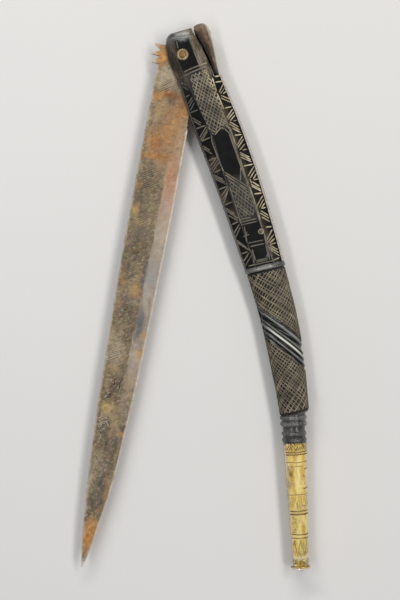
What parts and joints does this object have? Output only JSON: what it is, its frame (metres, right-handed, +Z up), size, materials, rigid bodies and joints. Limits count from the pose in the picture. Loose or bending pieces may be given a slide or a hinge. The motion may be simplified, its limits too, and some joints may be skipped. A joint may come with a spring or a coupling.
{
  "type": "folding knife",
  "caption": "Large folding knife with a carved horn handle, a ratchet back spring with an arched head and a slotted brass tail sheath, half open.",
  "frame": {"origin": "on the blade's pivot axis, at the outer face of the rosette that the knife lies on", "axes": "+X from the pivot towards the tail, +Y towards the handle's back and the spring, +Z up from the surface that the knife lies on"},
  "size_m": [0.3047, 0.1467, 0.0178],
  "materials": {
    "black_horn": "polished and engraved",
    "blade_steel": "old, rusted",
    "spring_steel": "brown patina",
    "brass": "worn",
    "pin_brass": "dark"
  },
  "bodies": {
    "handle": {"horn_handle": "black_horn", "pivot_pin": "pin_brass", "front_pivot_rosette": "brass", "rear_pivot_rosette": "brass", "spring_rivet": "pin_brass", "front_rivet_washer": "brass", "rear_rivet_washer": "brass", "finial_sheath": "brass", "tail_disc": "brass"},
    "blade": {"blade": "blade_steel"},
    "spring": {"back_spring": "spring_steel"}
  },
  "joints": [
    {"name": "blade_pivot", "type": "hinge", "parent": "handle", "child": "blade", "pos_m": [0, 0, 0.0089], "axis": [0, 0, -1], "range_deg": [-24.24, 145.76]},
    {"name": "spring_lift", "type": "hinge", "parent": "handle", "child": "spring", "pos_m": [0.1032, 0.0198, 0.0089], "axis": [0, 0, -1], "range_deg": [-0.55, 1], "stiffness_Nm_per_rad": 10}
  ]
}
